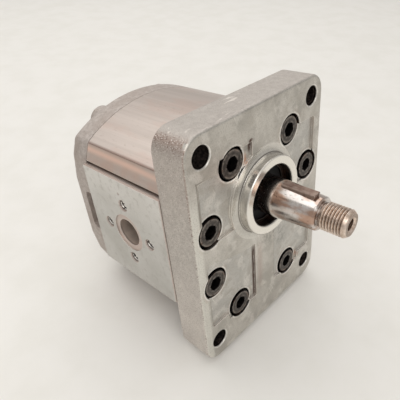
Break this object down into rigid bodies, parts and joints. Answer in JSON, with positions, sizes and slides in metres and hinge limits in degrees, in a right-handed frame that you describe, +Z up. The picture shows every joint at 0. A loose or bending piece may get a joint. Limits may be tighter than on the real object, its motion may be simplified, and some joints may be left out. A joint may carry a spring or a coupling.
{
  "type": "hydraulic gear pump",
  "caption": "External gear pump: aluminium body between a square-shouldered flange and a cast end cover, side ports, and a tapered keyed drive shaft with a threaded end.",
  "frame": {"origin": "centre of the rectangle of mounting holes, on the mounting face", "axes": "+Y back through the pump along its shafts, +Z up towards the drive shaft, +X to the right seen from the shaft end"},
  "size_m": [0.09, 0.1305, 0.1165],
  "materials": {
    "cast": "cast aluminium with a machined, lightly stained mounting face",
    "extrusion": "drawn aluminium with fine lines along its length",
    "cover_cast": "darker, rougher cast aluminium",
    "screw_steel": "dark oxide on steel, worn on the rims",
    "ground_steel": "ground steel, lightly browned",
    "key_steel": "dull steel",
    "pin_steel": "ground steel",
    "black_rubber": "black nitrile rubber",
    "block_aluminium": "machined aluminium alloy",
    "bush_bronze": "bronze-backed bearing liner",
    "backup_plastic": "off-white PTFE",
    "spring_steel": "dark spring steel"
  },
  "bodies": {
    "housing": {"front_flange": "cast", "pump_body": "extrusion", "rear_cover": "cover_cast", "cap_screws": "screw_steel", "front_dowel_pins": "pin_steel", "rear_dowel_pins": "pin_steel", "front_body_seal": "black_rubber", "rear_body_seal": "black_rubber", "front_bearing_block": "block_aluminium", "rear_bearing_block": "block_aluminium", "front_drive_bush": "bush_bronze", "front_driven_bush": "bush_bronze", "rear_drive_bush": "bush_bronze", "rear_driven_bush": "bush_bronze", "front_pressure_seal": "black_rubber", "rear_pressure_seal": "black_rubber", "front_backup_ring": "backup_plastic", "rear_backup_ring": "backup_plastic", "shaft_seal_lip": "black_rubber", "shaft_seal_case": "spring_steel", "garter_spring": "spring_steel", "seal_retaining_ring": "spring_steel"},
    "drive_shaft": {"drive_gear_shaft": "ground_steel", "woodruff_key": "key_steel"},
    "driven_gear": {"driven_gear_shaft": "ground_steel"}
  },
  "joints": [
    {"name": "drive_spin", "type": "hinge", "parent": "housing", "child": "drive_shaft", "pos_m": [0, 0, 0.0155], "axis": [0, 1, 0], "continuous": true},
    {"name": "driven_spin", "type": "hinge", "parent": "housing", "child": "driven_gear", "pos_m": [0, 0, -0.0155], "axis": [0, 1, 0], "continuous": true}
  ],
  "couplings": [
    {"joint": "driven_spin", "follows": "drive_spin", "ratio": -1}
  ]
}
